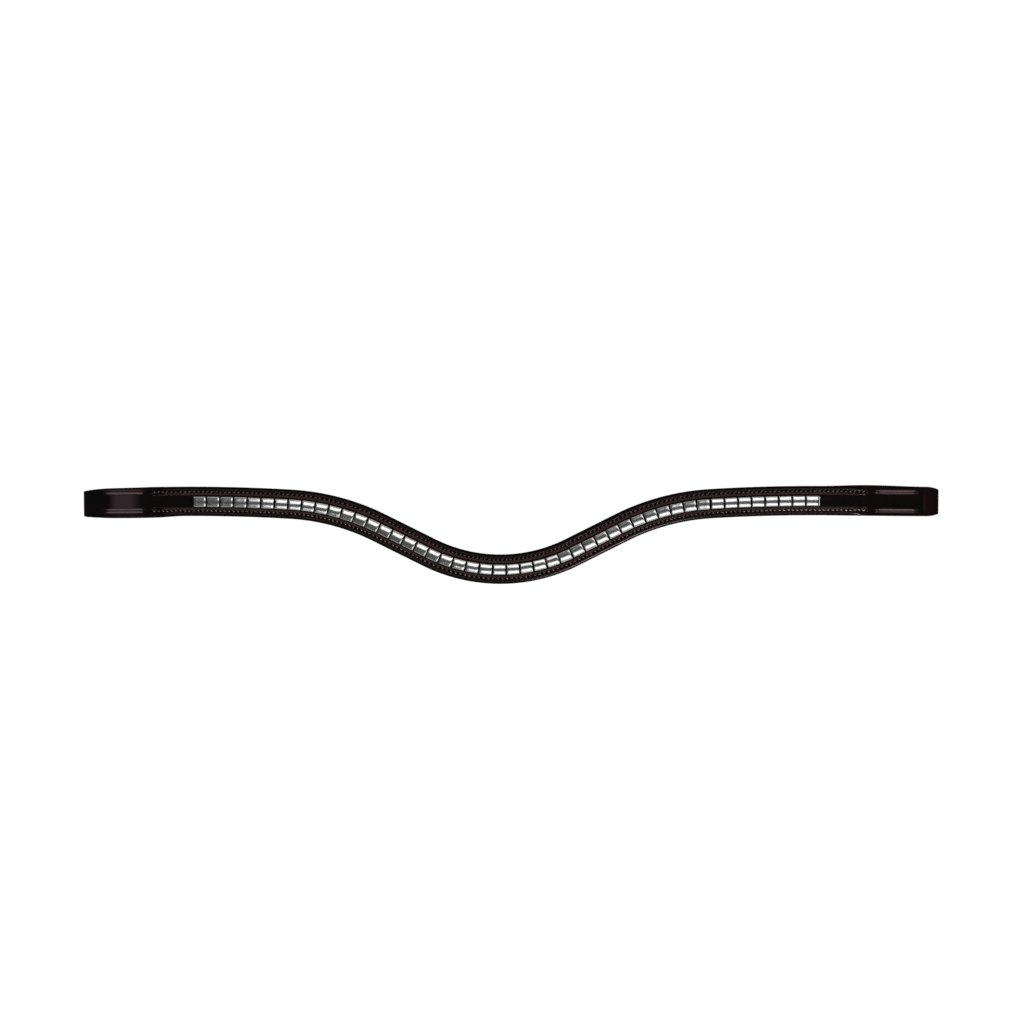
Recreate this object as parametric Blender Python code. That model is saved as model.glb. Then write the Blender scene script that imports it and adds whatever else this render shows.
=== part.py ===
"""A padded browband for a bridle, with a row of folded metal clinchers let into its face.

It lies on its back with its face up. Lengths are in metres: X runs along the band, Y towards the
crown of the horse's head and Z out of the face. The lining rests on Z = 0, with the middle of the
band's box over the origin.
"""

import math
from collections import namedtuple

import bmesh
import bpy
from mathutils import Vector

# The run of the band's midline, from the lowest point of its dip outwards to each side.
DIP_RADIUS = 0.0765
DIP_TURN = math.radians(26.5)
SLOPE_LENGTH = 0.0264
SHOULDER_RADIUS = 0.1090
SHOULDER_TURN = math.radians(23.1)
ARM_RADIUS = 0.8000
ARM_TURN = math.radians(4.0)
LEFT_LENGTH = 0.2040
RIGHT_LENGTH = 0.2142

# The face leather: a strap whose ends fold back as loops. Between them a channel runs down its
# middle, with a ridge, a sunk row of stitches and a padded margin on each side.
LEATHER = 0.0015
EDGE_ROUND = 0.0003
CHANNEL_WIDTH = 0.0056
RIDGE_WIDTH = 0.00145
RIDGE_RISE = 0.0019
GROOVE_WIDTH = 0.0005
GROOVE_DEPTH = 0.0004
MARGIN_WIDTH = 0.00225
MARGIN_RISE = 0.0022
MARGIN_WALL = 0.00045
RAIL_RUNOUT = 0.0075

# The loops that hold the headpiece, and the tails that end them between face and lining. Each
# strap tapers towards its fold, and the left loop droops a little towards the dip's side.
LEFT_LOOP = 0.0323
RIGHT_LOOP = 0.0338
LOOP_OPENING = 0.0075
ROOT_EASE = 0.0110
CREST_EASE = 0.0070
FOLD_REACH = 0.0070
LEFT_TAPER = 0.0140
LEFT_NARROWING = 0.0010
RIGHT_TAPER = 0.0066
RIGHT_NARROWING = 0.0012
FOLD_CORNER = 0.0005
LEFT_DROOP = 0.0007
BACK_RISE = 0.0070
LEFT_TAIL = 0.0157
RIGHT_TAIL = 0.0238
TAIL_SPREAD = 0.00035
TAIL_DRIFT = 0.0003

# The lining, a shallow tray round the foam, and the cords that fill the rails.
LINING = 0.0013
RIM_WIDTH = 0.0012
LINING_ROUND = 0.0009
LINING_INSET = 0.0006
RIM_RUNOUT = 0.0040
CORD_HEIGHT = 0.0013

# The clincher strip: sheet metal folded round a tape, one piece lapping the next like a roof tile.
CLINCHER_COUNT = 48
LEFT_BARE = 0.0198
RIGHT_BARE = 0.0232
CLINCHER_SPACE = 0.00062
CLINCHER_DOME = 0.0004
CLINCHER_RAMP = 0.0004
CLINCHER_ROUND = 0.0006
CLINCHER_DROP = 0.00025
LEG_SPACE = 0.0016
SHEET = 0.0004
TAPE_THICKNESS = 0.0007
TAPE_TONGUE = 0.0015
STAPLE_WIRE = 0.0005

# Clear room between leather layers, and between the metal and the tape that it grips.
SEAT_GAP = 0.0003
CRIMP_GAP = 0.00015

# How closely the stations along the band follow its bends.
LONGEST_STEP = 0.0120
TURN_STEP = math.radians(3.6)
FOLD_STEPS = 10
RUN_STEPS = 6
EASE_STEPS = 4
WIRE_SIDES = 6
BEND_STEPS = 2
SHARP_EDGE = math.radians(35)

# Sections across the band, as shares of the width and the rise of what they shape, and places
# along a rail's runout and along a tail, as shares of their lengths.
RIDGE_SHARES = ((0.0, 0.0), (0.14, 0.80), (0.5, 1.0), (1.0, 0.92))
MARGIN_SHARES = ((0.0, 0.80), (0.35, 1.0), (0.72, 0.80), (0.94, 0.32))
DOME_SHARES = ((0.5, 0.78),)
CORD_SHARES = ((0.5, 0.0), (0.46, 0.5), (0.2, 1.0))
RUNOUT_SHARES = (0.0, 0.33, 0.66, 1.0)
TAIL_SHARES = (0.5, 1.0)

STITCH_OFFSET = CHANNEL_WIDTH / 2 + RIDGE_WIDTH + GROOVE_WIDTH / 2
MARGIN_START = STITCH_OFFSET + GROOVE_WIDTH / 2
HALF_WIDTH = MARGIN_START + MARGIN_WIDTH
CORD_OFFSET = MARGIN_START + (MARGIN_WIDTH - MARGIN_WALL) / 2
CORD_WIDTH = MARGIN_WIDTH - MARGIN_WALL - 2 * SEAT_GAP
CLINCHER_WIDTH = CHANNEL_WIDTH - 2 * SEAT_GAP
TAPE_WIDTH = CLINCHER_WIDTH - 2 * (SHEET + SEAT_GAP)

CORE_BOTTOM = LINING + SEAT_GAP
CORE_TOP = CORE_BOTTOM + LEATHER
FACE_BOTTOM = CORE_TOP + SEAT_GAP
CHANNEL_FLOOR = FACE_BOTTOM + LEATHER
STRIP_BOTTOM = CHANNEL_FLOOR + SEAT_GAP
TAPE_BOTTOM = STRIP_BOTTOM + SHEET + CRIMP_GAP
TAPE_TOP = TAPE_BOTTOM + TAPE_THICKNESS
LEFT_ROOT = LEFT_LENGTH - LEFT_LOOP
RIGHT_ROOT = RIGHT_LENGTH - RIGHT_LOOP
STRIP_START = LEFT_BARE - LEFT_ROOT
STRIP_END = RIGHT_ROOT - RIGHT_BARE
CLINCHER_PITCH = (STRIP_END - STRIP_START) / CLINCHER_COUNT

# One end of the face: which side it is on, where its loop starts, and the sizes of its own.
Loop = namedtuple("Loop", "side root length tail taper narrowing droop")
LEFT_END = Loop(
    -1, LEFT_ROOT, LEFT_LOOP, LEFT_TAIL, LEFT_TAPER, LEFT_NARROWING, LEFT_DROOP,
)
RIGHT_END = Loop(1, RIGHT_ROOT, RIGHT_LOOP, RIGHT_TAIL, RIGHT_TAPER, RIGHT_NARROWING, 0.0)

# Each stretch of half the midline: its length, and its curvature, positive where it bends up.
STRETCHES = (
    (DIP_RADIUS * DIP_TURN, 1 / DIP_RADIUS),
    (SLOPE_LENGTH, 0.0),
    (SHOULDER_RADIUS * SHOULDER_TURN, -1 / SHOULDER_RADIUS),
    (ARM_RADIUS * ARM_TURN, -1 / ARM_RADIUS),
)


def ease(share):
    """A share from 0 to 1, eased in and out."""
    share = min(max(share, 0.0), 1.0)
    return share * share * (3 - 2 * share)


def midline(arc):
    """The midline's point, its direction and the direction across it, arc metres right of the dip."""
    side = -1 if arc < 0 else 1
    left = abs(arc)
    x, y, heading = 0.0, 0.0, 0.0
    for length, bend in STRETCHES:
        step = min(left, length)
        turned = heading + bend * step
        if bend:
            x += (math.sin(turned) - math.sin(heading)) / bend
            y += (math.cos(heading) - math.cos(turned)) / bend
        else:
            x += step * math.cos(heading)
            y += step * math.sin(heading)
        heading = turned
        left -= step
    x += left * math.cos(heading)
    y += left * math.sin(heading)
    along = Vector((math.cos(heading), side * math.sin(heading), 0))
    across = Vector((-along.y, along.x, 0))
    return Vector((side * x, y, 0)), along, across


def stops(first, last, extra=()):
    """Arc places from first to last, close enough together to follow the bends, with the extra ones."""
    marks = {first, last, *(arc for arc in extra if first < arc < last)}
    reach = 0.0
    for length, _ in STRETCHES:
        reach += length
        marks |= {arc for arc in (-reach, reach) if first < arc < last}
    marks = sorted(marks)
    places = [first]
    for start, end in zip(marks, marks[1:]):
        turn = midline(start)[1].angle(midline(end)[1])
        pieces = math.ceil(max((end - start) / LONGEST_STEP, turn / TURN_STEP, 1))
        places += [start + (end - start) * i / pieces for i in range(1, pieces + 1)]
    return places


def finish(name, colour, roughness, metallic=0.0):
    material = bpy.data.materials.new(name)
    material.use_nodes = True
    shader = material.node_tree.nodes["Principled BSDF"]
    shader.inputs["Base Color"].default_value = (*colour, 1)
    shader.inputs["Roughness"].default_value = roughness
    shader.inputs["Metallic"].default_value = metallic
    return material


def loft(name, rings):
    """A closed mesh through rings of as many points each, with its two ends capped."""
    shell = bmesh.new()
    lines = [[shell.verts.new(point) for point in ring] for ring in rings]
    for line, following in zip(lines, lines[1:]):
        for i in range(len(line)):
            shell.faces.new((line[i - 1], line[i], following[i], following[i - 1]))
    shell.faces.new(lines[0])
    shell.faces.new(reversed(lines[-1]))
    bmesh.ops.recalc_face_normals(shell, faces=shell.faces)
    bmesh.ops.triangulate(shell, faces=shell.faces)
    mesh = bpy.data.meshes.new(name)
    shell.to_mesh(mesh)
    shell.free()
    return mesh


def add(name, mesh, material, parent):
    if not mesh.materials:
        mesh.materials.append(material)
    mesh.shade_smooth()
    mesh.set_sharp_from_angle(angle=SHARP_EDGE)
    obj = bpy.data.objects.new(name, mesh)
    bpy.context.scene.collection.objects.link(obj)
    obj.parent = parent
    return obj


def mirrored(half):
    """A whole section from its right half, listed from the middle out to the right."""
    return [(-v, h) for v, h in reversed(half)] + list(half)


def swept(places, outline):
    """Rings along the midline; outline(arc) gives each one's points, across the band and above it."""
    rings = []
    for arc in places:
        point, _, across = midline(arc)
        rings.append([point + v * across + Vector((0, 0, z)) for v, z in outline(arc)])
    return rings


def face_section(half_width, rail):
    """The face's section, above its flesh side: rail is 0 on the plain loops and 1 between them."""
    rises = [(CHANNEL_WIDTH / 2 + v * RIDGE_WIDTH, h * RIDGE_RISE) for v, h in RIDGE_SHARES]
    rises.append((STITCH_OFFSET, RIDGE_SHARES[-1][1] * RIDGE_RISE - GROOVE_DEPTH))
    rises += [
        (MARGIN_START + v * (half_width - MARGIN_START), h * MARGIN_RISE) for v, h in MARGIN_SHARES
    ]
    grain = [(v, LEATHER + rail * rise) for v, rise in rises]
    grain += [(half_width, LEATHER - EDGE_ROUND), (half_width - EDGE_ROUND, 0)]
    hollow_base = CORD_WIDTH / 2 + SEAT_GAP
    hollow_top = CORD_SHARES[-1][0] * CORD_WIDTH + SEAT_GAP
    ceiling = rail * (CORD_HEIGHT + SEAT_GAP)
    flesh = [
        (CORD_OFFSET - hollow_base, 0),
        (CORD_OFFSET - hollow_top, ceiling),
        (CORD_OFFSET + hollow_top, ceiling),
        (CORD_OFFSET + hollow_base, 0),
    ]
    return mirrored(grain) + mirrored(flesh)[::-1]


def incline(out, crest, rise):
    """The height and slope of a loop's front, out from its root: straight between two eased ends."""
    steepest = rise / (crest - (ROOT_EASE + CREST_EASE) / 2)
    if out < ROOT_EASE:
        return steepest * out**2 / (2 * ROOT_EASE), steepest * out / ROOT_EASE
    if out > crest - CREST_EASE:
        left = crest - out
        return rise - steepest * left**2 / (2 * CREST_EASE), steepest * left / CREST_EASE
    return steepest * (out - ROOT_EASE / 2), steepest


def loop_path(loop):
    """The flesh side of one end of the face, from the root of its loop out, round the fold and back.

    Each entry is the distance out from the root, the height, and the direction out of the grain
    side as (outwards, up).
    """
    crest = loop.length - LEATHER - FOLD_REACH
    rise = LEATHER + LOOP_OPENING - FACE_BOTTOM
    places = [ROOT_EASE * i / EASE_STEPS for i in range(1, EASE_STEPS + 1)]
    places += [crest - CREST_EASE * i / EASE_STEPS for i in range(EASE_STEPS, -1, -1)]
    path = []
    for out in places:
        height, slope = incline(out, crest, rise)
        path.append((out, FACE_BOTTOM + height, Vector((-slope, 1)).normalized()))
    half_height = LOOP_OPENING / 2
    for i in range(1, FOLD_STEPS + 1):
        angle = math.pi * i / FOLD_STEPS
        out, up = math.sin(angle), math.cos(angle)
        normal = Vector((out / FOLD_REACH, up / half_height)).normalized()
        path.append((crest + FOLD_REACH * out, LEATHER + half_height * (1 + up), normal))
    sink = CORE_TOP - LEATHER
    for i in range(RUN_STEPS + 1):
        share = i / RUN_STEPS
        slope = 6 * share * (1 - share) * sink / BACK_RISE
        normal = Vector((-slope, -1)).normalized()
        path.append((BACK_RISE * (1 - share), LEATHER + sink * ease(share), normal))
    path += [(-share * loop.tail, CORE_TOP, Vector((0, -1))) for share in TAIL_SHARES]
    return path


def face_width(out, normal, loop):
    """Half the strap's width on a loop: it tapers towards the fold, whose corners are round."""
    left = loop.length - (out + LEATHER * normal.x)
    half_width = HALF_WIDTH - loop.narrowing * max(1 - left / loop.taper, 0.0) ** 2
    short = FOLD_CORNER - left
    if short > 0:
        half_width -= FOLD_CORNER - math.sqrt(max(FOLD_CORNER**2 - short**2, 0.0))
    return half_width


def loop_rings(loop):
    """The face's rings round one loop, from its root outwards.

    The run below is a little wider than the front and lies a little aside, which shows most at the
    root and fades along the tail.
    """
    rings = []
    for out, height, normal in loop_path(loop):
        point, along, across = midline(loop.side * (loop.root + out))
        outwards = loop.side * along
        below = ease(-normal.y) * ease(1 - out / loop.length) * (1 - ease(-out / loop.tail))
        half_width = face_width(max(out, 0.0), normal, loop) + TAIL_SPREAD * below
        aside = loop.side * TAIL_DRIFT * below - loop.droop * max(out, 0.0) / loop.length
        middle = point + Vector((0, 0, height)) + aside * across
        grain = normal.x * outwards + Vector((0, 0, normal.y))
        rings.append([middle + v * across + h * grain for v, h in face_section(half_width, 0.0)])
    return rings


def face_leather():
    runouts = [share * RAIL_RUNOUT - LEFT_ROOT for share in RUNOUT_SHARES]
    runouts += [RIGHT_ROOT - share * RAIL_RUNOUT for share in RUNOUT_SHARES]

    def outline(arc):
        rail = ease(min(arc + LEFT_ROOT, RIGHT_ROOT - arc) / RAIL_RUNOUT)
        return [(v, FACE_BOTTOM + h) for v, h in face_section(HALF_WIDTH, rail)]

    body = swept(stops(-LEFT_ROOT, RIGHT_ROOT, runouts), outline)
    return loft("face_leather", loop_rings(LEFT_END)[::-1] + body + loop_rings(RIGHT_END))


def lining_leather():
    """The lining, whose rims rise round the foam but stay down where a loop's tail lies on it."""
    first, last = LINING_INSET - LEFT_ROOT, RIGHT_ROOT - LINING_INSET
    left_tail_end, right_tail_end = LEFT_TAIL - LEFT_ROOT, RIGHT_ROOT - RIGHT_TAIL
    runouts = [left_tail_end + share * RIM_RUNOUT for share in RUNOUT_SHARES]
    runouts += [right_tail_end - share * RIM_RUNOUT for share in RUNOUT_SHARES]

    def outline(arc):
        raised = ease(min(arc - left_tail_end, right_tail_end - arc) / RIM_RUNOUT)
        rim = LINING + raised * (CORE_TOP - LINING)
        # The rim's inner face leans out where it is low, which keeps its two edges apart.
        return mirrored([
            (HALF_WIDTH - RIM_WIDTH, LINING),
            (HALF_WIDTH - RIM_WIDTH + EDGE_ROUND * (1 - raised), rim),
            (HALF_WIDTH - EDGE_ROUND, rim),
            (HALF_WIDTH, rim - EDGE_ROUND),
            (HALF_WIDTH, LINING_ROUND),
            (HALF_WIDTH - LINING_ROUND, 0),
        ])

    return loft("lining_leather", swept(stops(first, last, runouts), outline))


def padding_foam():
    half_width = HALF_WIDTH - RIM_WIDTH - SEAT_GAP
    section = [(half_width, CORE_TOP), (half_width, CORE_BOTTOM)]
    first = LEFT_TAIL + SEAT_GAP - LEFT_ROOT
    last = RIGHT_ROOT - RIGHT_TAIL - SEAT_GAP
    return loft("padding_foam", swept(stops(first, last), lambda arc: mirrored(section)))


def rail_cord(name, side):
    """The filler cord of one rail, which ends where the rail starts to run out."""
    half = [(v * CORD_WIDTH, FACE_BOTTOM + h * CORD_HEIGHT) for v, h in reversed(CORD_SHARES)]
    section = [(side * CORD_OFFSET + v, z) for v, z in mirrored(half)]
    inset = RAIL_RUNOUT + SEAT_GAP
    places = stops(inset - LEFT_ROOT, RIGHT_ROOT - inset)
    return loft(name, swept(places, lambda arc: section))


def clincher_tape():
    section = [(TAPE_WIDTH / 2, TAPE_TOP), (TAPE_WIDTH / 2, TAPE_BOTTOM)]
    places = stops(STRIP_START - TAPE_TONGUE, STRIP_END + TAPE_TONGUE)
    return loft("clincher_tape", swept(places, lambda arc: mirrored(section)))


def clincher_section(lift):
    """The folded sheet's section: a domed back, two sides and two legs that close under the tape."""
    half_width = CLINCHER_WIDTH / 2
    shoulder = SHEET + CRIMP_GAP + TAPE_THICKNESS + CRIMP_GAP + SHEET + lift
    leg = LEG_SPACE / 2
    outer = [(share * half_width, shoulder + rise * CLINCHER_DOME) for share, rise in DOME_SHARES]
    outer += [
        (half_width - SHEET, shoulder),
        (half_width, shoulder - SHEET),
        (half_width, SHEET),
        (half_width - SHEET, 0),
        (leg, 0),
    ]
    inner = [
        (half_width - SHEET, shoulder - SHEET),
        (half_width - SHEET, SHEET),
        (leg, SHEET),
    ]
    crown = shoulder + CLINCHER_DOME
    over = [(-v, h) for v, h in reversed(outer)] + [(0, crown)] + outer
    under = [(-v, h) for v, h in reversed(inner)] + [(0, crown - SHEET)] + inner
    return over + under[::-1]


def clincher():
    """One clincher, its low end at -X and its raised, rounded lip at +X."""
    half_length = (CLINCHER_PITCH - CLINCHER_SPACE) / 2
    profile = (
        (-half_length, 0),
        (CLINCHER_ROUND - half_length, CLINCHER_DROP),
        (half_length - CLINCHER_ROUND, CLINCHER_DROP + CLINCHER_RAMP),
        (half_length, CLINCHER_RAMP),
    )
    rings = [[Vector((x, v, z)) for v, z in clincher_section(lift)] for x, lift in profile]
    return loft("clincher", rings)


def end_staple():
    """A wire staple over the tape's end: two legs in the channel, joined by a bridge."""
    half_span = CHANNEL_WIDTH / 2 - SEAT_GAP - STAPLE_WIRE / 2
    bridge = TAPE_TOP + CRIMP_GAP + STAPLE_WIRE / 2
    half = [(half_span, STRIP_BOTTOM, 0.0)]
    for i in range(BEND_STEPS + 1):
        angle = math.pi / 2 * i / BEND_STEPS
        half.append((
            half_span - STAPLE_WIRE * (1 - math.cos(angle)),
            bridge - STAPLE_WIRE * (1 - math.sin(angle)),
            angle,
        ))
    route = half + [(-v, z, math.pi - angle) for v, z, angle in reversed(half)]
    last_lip = STRIP_END - CLINCHER_SPACE / 2
    point, along, across = midline(last_lip + SEAT_GAP + STAPLE_WIRE / 2)
    rings = []
    for v, z, angle in route:
        # The wire runs up the first leg, so what lies out of its bend starts across the band.
        outside = math.cos(angle) * across + math.sin(angle) * Vector((0, 0, 1))
        middle = point + v * across + Vector((0, 0, z))
        turns = [2 * math.pi * i / WIRE_SIDES for i in range(WIRE_SIDES)]
        rings.append([
            middle + STAPLE_WIRE / 2 * (math.cos(turn) * outside + math.sin(turn) * along)
            for turn in turns
        ])
    return loft("end_staple", rings)


def box_of(objects):
    corners = [obj.matrix_local @ vertex.co for obj in objects for vertex in obj.data.vertices]
    lowest = Vector(min(corner[axis] for corner in corners) for axis in range(3))
    highest = Vector(max(corner[axis] for corner in corners) for axis in range(3))
    return lowest, highest


def build():
    for old in list(bpy.data.objects):
        bpy.data.objects.remove(old)
    band = bpy.data.objects.new("band", None)
    bpy.context.scene.collection.objects.link(band)

    bridle_leather = finish("bridle_leather", (0.011, 0.006, 0.007), 0.35)
    soft_leather = finish("soft_leather", (0.009, 0.007, 0.007), 0.55)
    foam = finish("foam", (0.045, 0.045, 0.048), 0.95)
    cotton = finish("cotton", (0.060, 0.045, 0.045), 0.9)
    nickel = finish("nickel", (0.66, 0.65, 0.62), 0.18, metallic=1.0)

    add("face_leather", face_leather(), bridle_leather, band)
    add("lining_leather", lining_leather(), soft_leather, band)
    add("padding_foam", padding_foam(), foam, band)
    add("upper_rail_cord", rail_cord("upper_rail_cord", 1), cotton, band)
    add("lower_rail_cord", rail_cord("lower_rail_cord", -1), cotton, band)
    add("clincher_tape", clincher_tape(), soft_leather, band)
    add("end_staple", end_staple(), nickel, band)
    folded = clincher()
    for number in range(CLINCHER_COUNT):
        point, along, _ = midline(STRIP_START + (number + 0.5) * CLINCHER_PITCH)
        piece = add(f"clincher_{number + 1:02d}", folded, nickel, band)
        piece.location = point + Vector((0, 0, STRIP_BOTTOM))
        piece.rotation_euler.z = math.atan2(along.y, along.x)

    bpy.context.view_layer.update()
    lowest, highest = box_of(list(band.children))
    middle = (lowest + highest) / 2
    band.location = (-middle.x, -middle.y, 0)


build()
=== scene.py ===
"""A padded leather browband with a strip of folded nickel clinchers, finished as a saddler makes it.

The sections follow the making: lining, foam, filler cords, face, thread, tape, clinchers and staple,
and last the table, the light and the camera. Lengths are in metres.
"""

import math

import bmesh
import bpy
import numpy as np
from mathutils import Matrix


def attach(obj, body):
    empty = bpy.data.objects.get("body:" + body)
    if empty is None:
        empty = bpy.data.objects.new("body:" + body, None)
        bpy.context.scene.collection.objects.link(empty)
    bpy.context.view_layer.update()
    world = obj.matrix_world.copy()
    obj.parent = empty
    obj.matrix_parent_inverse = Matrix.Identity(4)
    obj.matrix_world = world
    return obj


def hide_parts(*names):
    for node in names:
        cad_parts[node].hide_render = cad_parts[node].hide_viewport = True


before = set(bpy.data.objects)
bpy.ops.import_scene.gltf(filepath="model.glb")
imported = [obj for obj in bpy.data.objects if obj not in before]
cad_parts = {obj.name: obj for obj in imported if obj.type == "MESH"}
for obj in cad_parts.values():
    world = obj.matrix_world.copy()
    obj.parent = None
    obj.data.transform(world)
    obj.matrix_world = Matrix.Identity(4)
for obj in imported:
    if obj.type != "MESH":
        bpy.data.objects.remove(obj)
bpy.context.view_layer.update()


# The lining: soft black calf on the back of the band, with a rim that rises round the foam.
# Both stitch rows come through it, and each lies in a shallow groove that its own pull has made.

BAND_MIDDLE = (-0.0051, -0.016467)
DIP_RADIUS, DIP_TURN = 0.0765, math.radians(26.5)
SLOPE_LENGTH = 0.0264
SHOULDER_RADIUS, SHOULDER_TURN = 0.1090, math.radians(23.1)
ARM_RADIUS, ARM_TURN = 0.8000, math.radians(4.0)
LEFT_ROOT, RIGHT_ROOT = 0.1717, 0.1804
LEFT_TAIL, RIGHT_TAIL = 0.0157, 0.0238
HALF_WIDTH = 0.0070
STITCH_OFFSET = 0.0045
STITCH_LENGTH = 0.002117
HOLE_REACH = 0.00050
FINE_STEP = STITCH_LENGTH / 12
SHARP_BEND = math.radians(50)

LINING = 0.0013
LINING_INSET = 0.0006
LINING_CORNER = 0.0009
LINING_GROOVE, LINING_GROOVE_WIDTH = 0.00042, 0.00020
LINING_RIM = 0.0012
RIM_RUNOUT = 0.004
RIM_ROUND, RIM_CHAMFER = 0.0003, 0.0002
CORE_TOP = 0.0031

# Places across the lining's back, close together where the thread draws it in, and across its bed.
BACK_PLACES = np.array([0.0, 1.6, 3.0, 3.8, 4.1, 4.25, 4.38, 4.5, 4.62, 4.75, 4.9, 5.3, 5.8]) / 1000
BED_PLACES = (0.0035, 0.0)

# The thread stains the back, which is under BACK_SIDE; its round edges are rubbed, its sides inked.
BACK_SIDE = 0.0010
STAIN_WIDTH = 0.00028
BACK_RUBBED, BACK_RUBBED_WIDTH = 0.0062, 0.0007
SIDE_INKED = 0.00685


def ease(share):
    """0 below 0 and 1 above 1, with a soft start and a soft end between them."""
    share = np.clip(share, 0.0, 1.0)
    return share * share * (3 - 2 * share)


def bell(distance, width):
    """1 at no distance, fading to both sides."""
    return np.exp(-((distance / width) ** 2))


def quarter_turn(count):
    """Angles from 0 to 90 degrees, for a round corner through as many points."""
    return np.radians(np.linspace(0, 90, count))


def midline_at(arc):
    """Where the band's midline is, arc metres right of the dip, and which way it runs there."""
    side = -1 if arc < 0 else 1
    to_go, x, y, heading = abs(arc), 0.0, 0.0, 0.0
    for length, bend in (
        (DIP_RADIUS * DIP_TURN, 1 / DIP_RADIUS),
        (SLOPE_LENGTH, 0.0),
        (SHOULDER_RADIUS * SHOULDER_TURN, -1 / SHOULDER_RADIUS),
        (ARM_RADIUS * ARM_TURN, -1 / ARM_RADIUS),
    ):
        step = min(to_go, length)
        turned = heading + bend * step
        if bend:
            x += (math.sin(turned) - math.sin(heading)) / bend
            y += (math.cos(heading) - math.cos(turned)) / bend
        else:
            x += step * math.cos(heading)
            y += step * math.sin(heading)
        heading = turned
        to_go -= step
    x += to_go * math.cos(heading)
    y += to_go * math.sin(heading)
    along = (math.cos(heading), side * math.sin(heading), 0.0)
    return (side * x + BAND_MIDDLE[0], y + BAND_MIDDLE[1], 0.0), along


def midline(arcs):
    """Points, directions along and directions across, one row for each arc place."""
    found = [midline_at(arc) for arc in arcs]
    points = np.array([point for point, _ in found])
    along = np.array([direction for _, direction in found])
    across = np.stack([-along[:, 1], along[:, 0], along[:, 2]], axis=1)
    return points, along, across


def laid_rings(arcs, v, h):
    """Rings of a piece that follows the band: v is how far across it a point is, and h how high."""
    points, _, across = midline(arcs)
    rings = points[:, None, :] + v[..., None] * across[:, None, :]
    rings[..., 2] += h
    return rings


def closed_section(v, h):
    """Whole rings from right halves that start and end on the middle line."""
    return np.concatenate([v, -v[:, -2:0:-1]], 1), np.concatenate([h, h[:, -2:0:-1]], 1)


def hole_pull(arcs):
    """1 at each needle hole of the stitch rows, falling to 0 between the holes."""
    place = (arcs + LEFT_ROOT) / STITCH_LENGTH
    return bell((place - np.round(place)) * STITCH_LENGTH, HOLE_REACH)


def skin(name, rings, marks=None):
    """A closed piece through rings of as many points each; marks are values kept at its points."""
    count, sides = rings.shape[:2]
    index = np.arange(count * sides).reshape(count, sides)
    beside = np.roll(index, -1, axis=1)
    faces = np.stack([index[:-1], index[1:], beside[1:], beside[:-1]], axis=-1)
    faces = faces.reshape(-1, 4).tolist() + [index[0].tolist(), index[-1][::-1].tolist()]
    mesh = bpy.data.meshes.new(name)
    mesh.from_pydata(rings.reshape(-1, 3).tolist(), [], faces)
    for mark, values in (marks or {}).items():
        kept = mesh.attributes.new(mark, "FLOAT", "POINT")
        kept.data.foreach_set("value", np.broadcast_to(values, (count, sides)).reshape(-1))
    shell = bmesh.new()
    shell.from_mesh(mesh)
    bmesh.ops.recalc_face_normals(shell, faces=shell.faces)
    shell.to_mesh(mesh)
    shell.free()
    mesh.shade_smooth()
    mesh.set_sharp_from_angle(angle=SHARP_BEND)
    return mesh


def fit(name, mesh, material, slot, *nodes):
    """Puts a finished piece on the band, in place of the plain solids that it stands for."""
    mesh.materials.clear()
    mesh.materials.append(material)
    piece = bpy.data.objects.new(name, mesh)
    bpy.context.scene.collection.objects.link(piece)
    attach(piece, "root")
    if nodes:
        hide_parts(*nodes)
    return piece


def new_material(name, **constants):
    """A Principled material; its constants are set on the shader's own sockets."""
    material = bpy.data.materials.new(name)
    material.use_nodes = True
    shader = material.node_tree.nodes["Principled BSDF"]
    for socket, value in constants.items():
        shader.inputs[socket.replace("_", " ")].default_value = value
    return material, material.node_tree, shader


def new_group(name, usual, results):
    """An empty node group: its inputs with their usual values, and the numbers that it puts out."""
    tree = bpy.data.node_groups.new(name, "ShaderNodeTree")
    for socket, value in usual.items():
        added = tree.interface.new_socket(socket, in_out="INPUT", socket_type="NodeSocketFloat")
        added.default_value = value
    for socket in results:
        tree.interface.new_socket(socket, in_out="OUTPUT", socket_type="NodeSocketFloat")
    return tree, tree.nodes.new("NodeGroupInput").outputs, tree.nodes.new("NodeGroupOutput").inputs


def wire(tree, kind, inputs=(), **settings):
    """Adds a node: settings are its own properties, inputs pairs of a socket and a value or link."""
    node = tree.nodes.new(kind)
    for key, value in settings.items():
        setattr(node, key, value)
    for socket, value in dict(inputs).items():
        if isinstance(value, bpy.types.NodeSocket):
            tree.links.new(value, node.inputs[socket])
        else:
            node.inputs[socket].default_value = value
    return node


def reckoned(tree, operation, *values, clamped=False):
    """A number worked out from others by a Math node."""
    node = wire(tree, "ShaderNodeMath", enumerate(values), operation=operation, use_clamp=clamped)
    return node.outputs[0]


def scaled(tree, value, low, high):
    """A 0 to 1 value spread between low and high."""
    inputs = {"Value": value, "To Min": low, "To Max": high}
    return wire(tree, "ShaderNodeMapRange", inputs).outputs["Result"]


def blended(tree, share, first, second):
    """A colour between two, by a share."""
    inputs = {0: share, 6: first, 7: second}
    return wire(tree, "ShaderNodeMix", inputs, data_type="RGBA").outputs[2]


def noise(tree, place, scale, detail, **more):
    """A cloudy texture in space, with more of the node's inputs by name."""
    inputs = {"Vector": place, "Scale": scale, "Detail": detail, **more}
    return wire(tree, "ShaderNodeTexNoise", inputs).outputs


def own_place(tree):
    """Places in the piece's own coordinates."""
    return wire(tree, "ShaderNodeTexCoord").outputs["Object"]


def emboss(tree, shader, height, strength, depth):
    """Fine relief in a finish."""
    bump = wire(tree, "ShaderNodeBump", {"Strength": strength, "Distance": depth, "Height": height})
    tree.links.new(bump.outputs["Normal"], shader.inputs["Normal"])


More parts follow.
